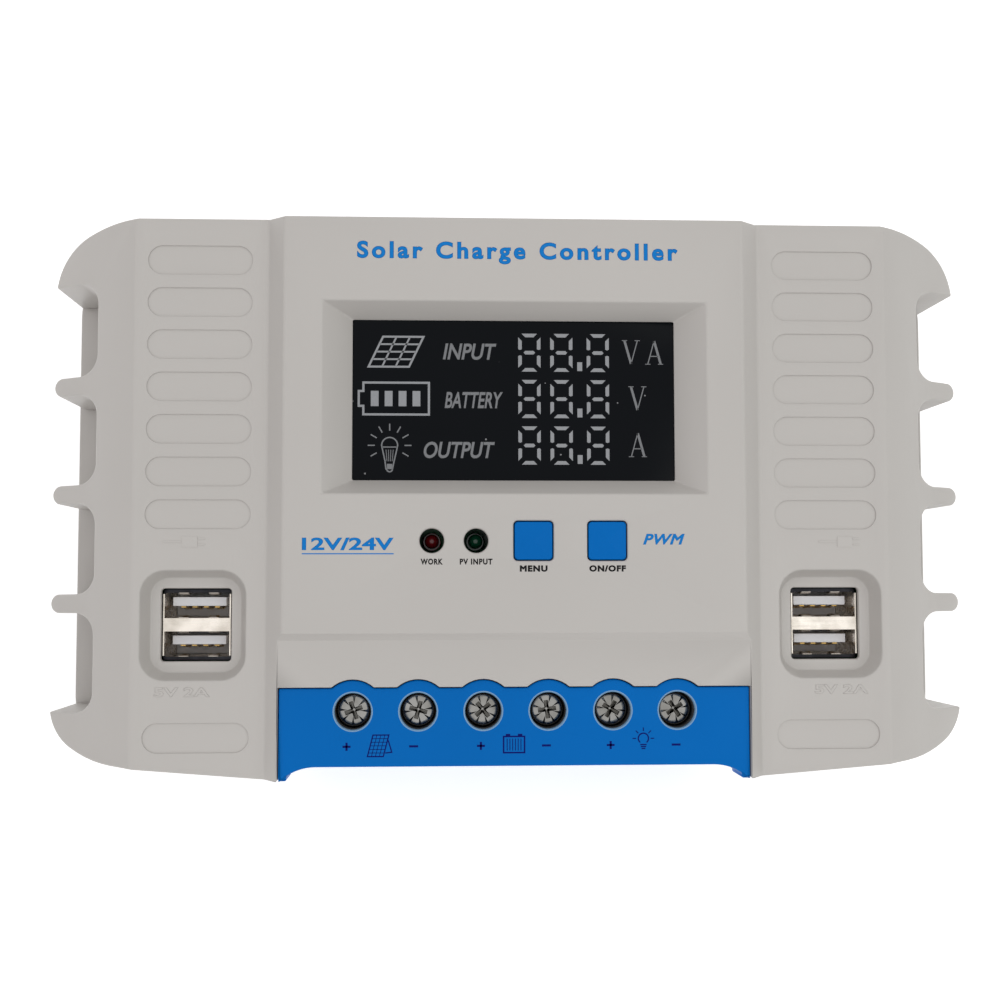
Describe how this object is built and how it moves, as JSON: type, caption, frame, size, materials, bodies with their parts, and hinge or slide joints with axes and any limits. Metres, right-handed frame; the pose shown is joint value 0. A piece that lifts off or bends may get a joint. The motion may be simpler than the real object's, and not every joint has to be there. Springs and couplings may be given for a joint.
{
  "type": "solar charge controller",
  "caption": "Flat charge controller box with a sunk display, push buttons, USB sockets and screw terminals under a clip-on cover, for wall mounting.",
  "frame": {"origin": "middle of the back plane, which lies against the wall or bench", "axes": "+X to the right along the width, +Y away from the terminals, +Z out of the front panel"},
  "size_m": [0.195, 0.115, 0.0424],
  "materials": {
    "housing_plastic": "satin moulded, very fine grain",
    "blue_plastic": "satin",
    "dark_plastic": "moulded",
    "window_plastic": "polished, printed from behind",
    "white_plastic": "moulded",
    "red_lens": "tinted clear",
    "green_lens": "tinted clear",
    "fuse_plastic": "tinted clear",
    "board_laminate": "solder mask",
    "capacitor_sleeve": "shrunk sleeve",
    "core_ferrite": "lacquered powder core",
    "copper_wire": "enamelled copper",
    "zinc_steel": "bright zinc",
    "shell_steel": "nickel plated",
    "black_steel": "black oxide",
    "sink_aluminium": "extruded",
    "tinned_copper": "tinned copper",
    "gold_contacts": "gold plated",
    "thermal_sheet": "soft sheet"
  },
  "bodies": {
    "case": {"top_cover": "housing_plastic", "terminal_cover": "blue_plastic", "base_tray": "housing_plastic", "heat_sink": "sink_aluminium", "display_window": "window_plastic", "display_module": "dark_plastic", "display_board": "board_laminate", "display_screws": "zinc_steel", "board_header": "dark_plastic", "menu_switch": "dark_plastic", "power_switch": "dark_plastic", "work_lamp": "red_lens", "input_lamp": "green_lens", "lamp_leads": "tinned_copper", "main_board": "board_laminate", "usb_shell_left": "shell_steel", "usb_shell_right": "shell_steel", "usb_tongues_left": "white_plastic", "usb_tongues_right": "white_plastic", "usb_contacts": "gold_contacts", "terminal_block": "dark_plastic", "busbars": "tinned_copper", "capacitors": "capacitor_sleeve", "inductor_core": "core_ferrite", "inductor_winding": "copper_wire", "blade_fuses": "fuse_plastic", "fuse_clips": "tinned_copper", "controller_chip": "dark_plastic", "current_shunts": "tinned_copper", "transistors": "dark_plastic", "thermal_pads": "thermal_sheet", "transistor_screws": "zinc_steel", "board_screws": "zinc_steel", "heat_sink_screws": "black_steel", "case_screws": "black_steel"},
    "menu_button": {"menu_button": "blue_plastic", "menu_plunger": "dark_plastic"},
    "power_button": {"power_button": "blue_plastic", "power_plunger": "dark_plastic"},
    "terminal_screw_1": {"terminal_screw_1": "zinc_steel"},
    "clamp_cage_1": {"clamp_cage_1": "zinc_steel"},
    "terminal_screw_2": {"terminal_screw_2": "zinc_steel"},
    "clamp_cage_2": {"clamp_cage_2": "zinc_steel"},
    "terminal_screw_3": {"terminal_screw_3": "zinc_steel"},
    "clamp_cage_3": {"clamp_cage_3": "zinc_steel"},
    "terminal_screw_4": {"terminal_screw_4": "zinc_steel"},
    "clamp_cage_4": {"clamp_cage_4": "zinc_steel"},
    "terminal_screw_5": {"terminal_screw_5": "zinc_steel"},
    "clamp_cage_5": {"clamp_cage_5": "zinc_steel"},
    "terminal_screw_6": {"terminal_screw_6": "zinc_steel"},
    "clamp_cage_6": {"clamp_cage_6": "zinc_steel"}
  },
  "joints": [
    {"name": "menu_press", "type": "slide", "parent": "case", "child": "menu_button", "axis": [0, 0, -1], "range_m": [0, 0.0004], "stiffness_N_per_m": 500, "springref_m": -0.0005},
    {"name": "power_press", "type": "slide", "parent": "case", "child": "power_button", "axis": [0, 0, -1], "range_m": [0, 0.0004], "stiffness_N_per_m": 500, "springref_m": -0.0005},
    {"name": "screw_turn_1", "type": "hinge", "parent": "case", "child": "terminal_screw_1", "pos_m": [-0.033, -0.0436, 0.03], "axis": [0, 0, -1], "range_deg": [0, 2880]},
    {"name": "cage_lift_1", "type": "slide", "parent": "case", "child": "clamp_cage_1", "axis": [0, 0, 1], "range_m": [0, 0.0056]},
    {"name": "screw_turn_2", "type": "hinge", "parent": "case", "child": "terminal_screw_2", "pos_m": [-0.0198, -0.0436, 0.03], "axis": [0, 0, -1], "range_deg": [0, 2880]},
    {"name": "cage_lift_2", "type": "slide", "parent": "case", "child": "clamp_cage_2", "axis": [0, 0, 1], "range_m": [0, 0.0056]},
    {"name": "screw_turn_3", "type": "hinge", "parent": "case", "child": "terminal_screw_3", "pos_m": [-0.0066, -0.0436, 0.03], "axis": [0, 0, -1], "range_deg": [0, 2880]},
    {"name": "cage_lift_3", "type": "slide", "parent": "case", "child": "clamp_cage_3", "axis": [0, 0, 1], "range_m": [0, 0.0056]},
    {"name": "screw_turn_4", "type": "hinge", "parent": "case", "child": "terminal_screw_4", "pos_m": [0.0066, -0.0436, 0.03], "axis": [0, 0, -1], "range_deg": [0, 2880]},
    {"name": "cage_lift_4", "type": "slide", "parent": "case", "child": "clamp_cage_4", "axis": [0, 0, 1], "range_m": [0, 0.0056]},
    {"name": "screw_turn_5", "type": "hinge", "parent": "case", "child": "terminal_screw_5", "pos_m": [0.0198, -0.0436, 0.03], "axis": [0, 0, -1], "range_deg": [0, 2880]},
    {"name": "cage_lift_5", "type": "slide", "parent": "case", "child": "clamp_cage_5", "axis": [0, 0, 1], "range_m": [0, 0.0056]},
    {"name": "screw_turn_6", "type": "hinge", "parent": "case", "child": "terminal_screw_6", "pos_m": [0.033, -0.0436, 0.03], "axis": [0, 0, -1], "range_deg": [0, 2880]},
    {"name": "cage_lift_6", "type": "slide", "parent": "case", "child": "clamp_cage_6", "axis": [0, 0, 1], "range_m": [0, 0.0056]}
  ],
  "couplings": [
    {"joint": "screw_turn_1", "follows": "cage_lift_1", "rad_per_m": 8976},
    {"joint": "screw_turn_2", "follows": "cage_lift_2", "rad_per_m": 8976},
    {"joint": "screw_turn_3", "follows": "cage_lift_3", "rad_per_m": 8976},
    {"joint": "screw_turn_4", "follows": "cage_lift_4", "rad_per_m": 8976},
    {"joint": "screw_turn_5", "follows": "cage_lift_5", "rad_per_m": 8976},
    {"joint": "screw_turn_6", "follows": "cage_lift_6", "rad_per_m": 8976}
  ]
}
